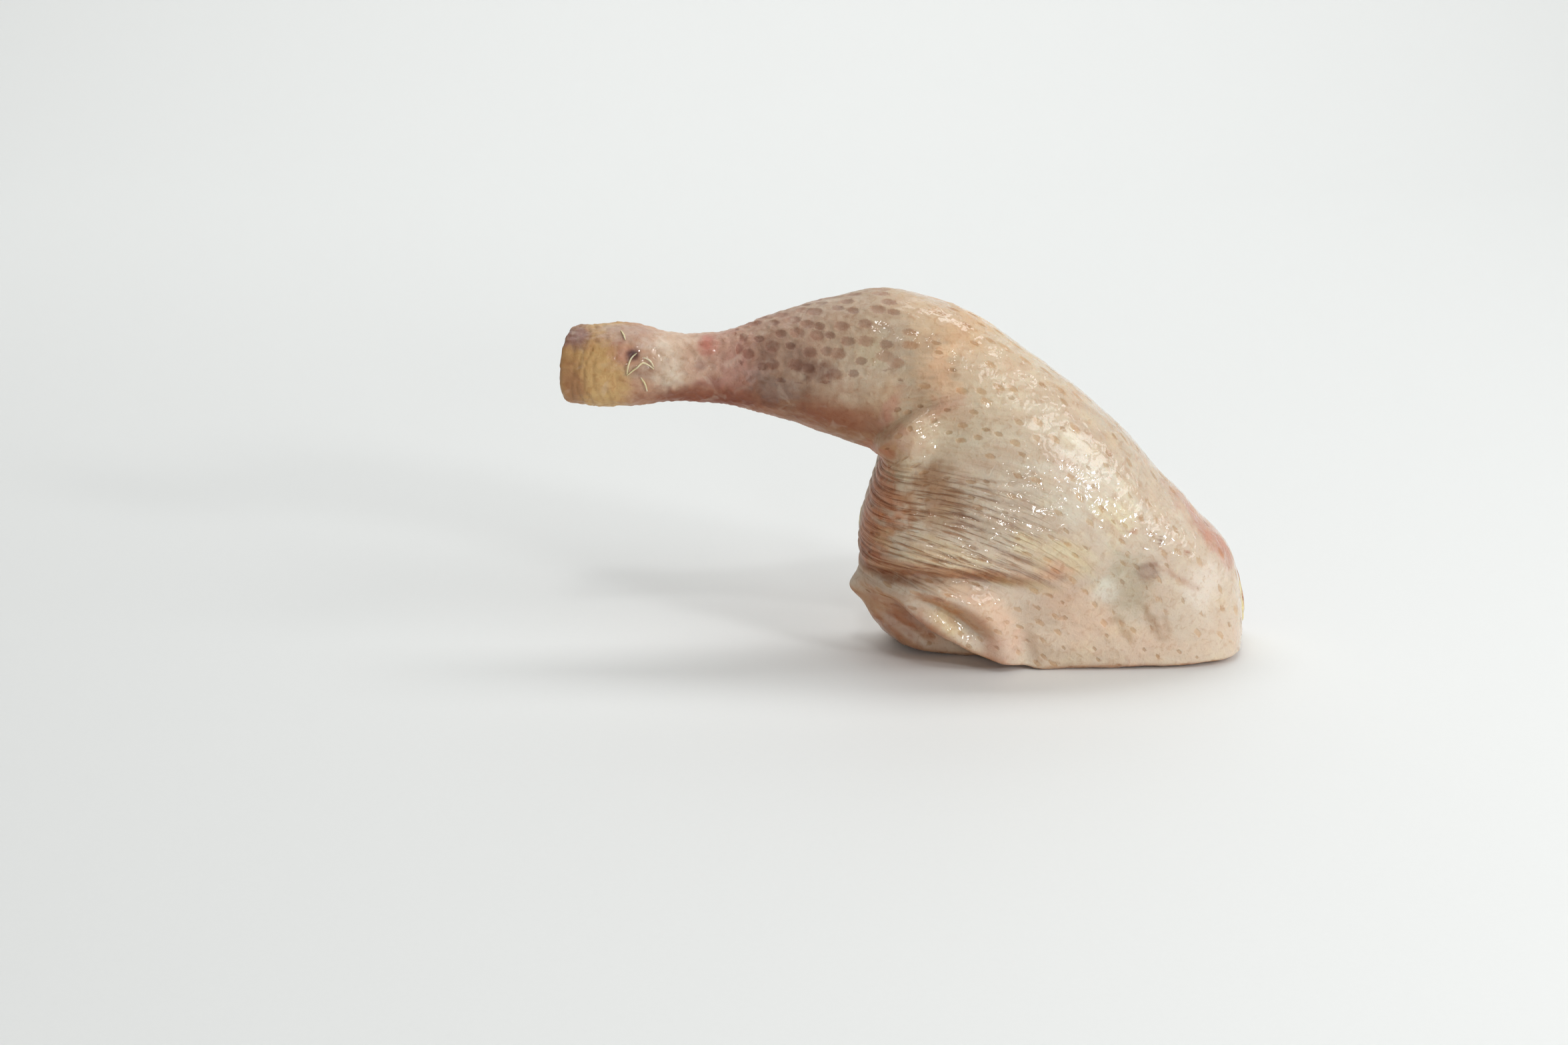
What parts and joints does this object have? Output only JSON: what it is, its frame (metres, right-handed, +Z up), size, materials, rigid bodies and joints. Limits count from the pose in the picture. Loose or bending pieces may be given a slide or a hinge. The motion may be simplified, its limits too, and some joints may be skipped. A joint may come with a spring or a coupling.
{
  "type": "raw chicken leg",
  "caption": "Raw whole chicken leg with its skin on, thigh and drumstick in one piece, standing on the thigh's lower edge.",
  "frame": {"origin": "middle of the leg's box, on the surface that it stands on", "axes": "+X from the hock towards the thigh, +Y from the skin side to the cut side, +Z up"},
  "size_m": [0.2161, 0.0653, 0.1123],
  "materials": {
    "skin": "moist raw skin, pale pinkish tan, soft gloss",
    "meat": "wet raw muscle, dull red",
    "cartilage": "smooth wet cartilage, bluish white",
    "hock_cartilage": "wet cartilage, purplish grey"
  },
  "bodies": {
    "root": {"leg": "skin", "thigh_meat": "meat", "hip_ball": "cartilage", "hock_joint": "hock_cartilage"}
  },
  "joints": []
}
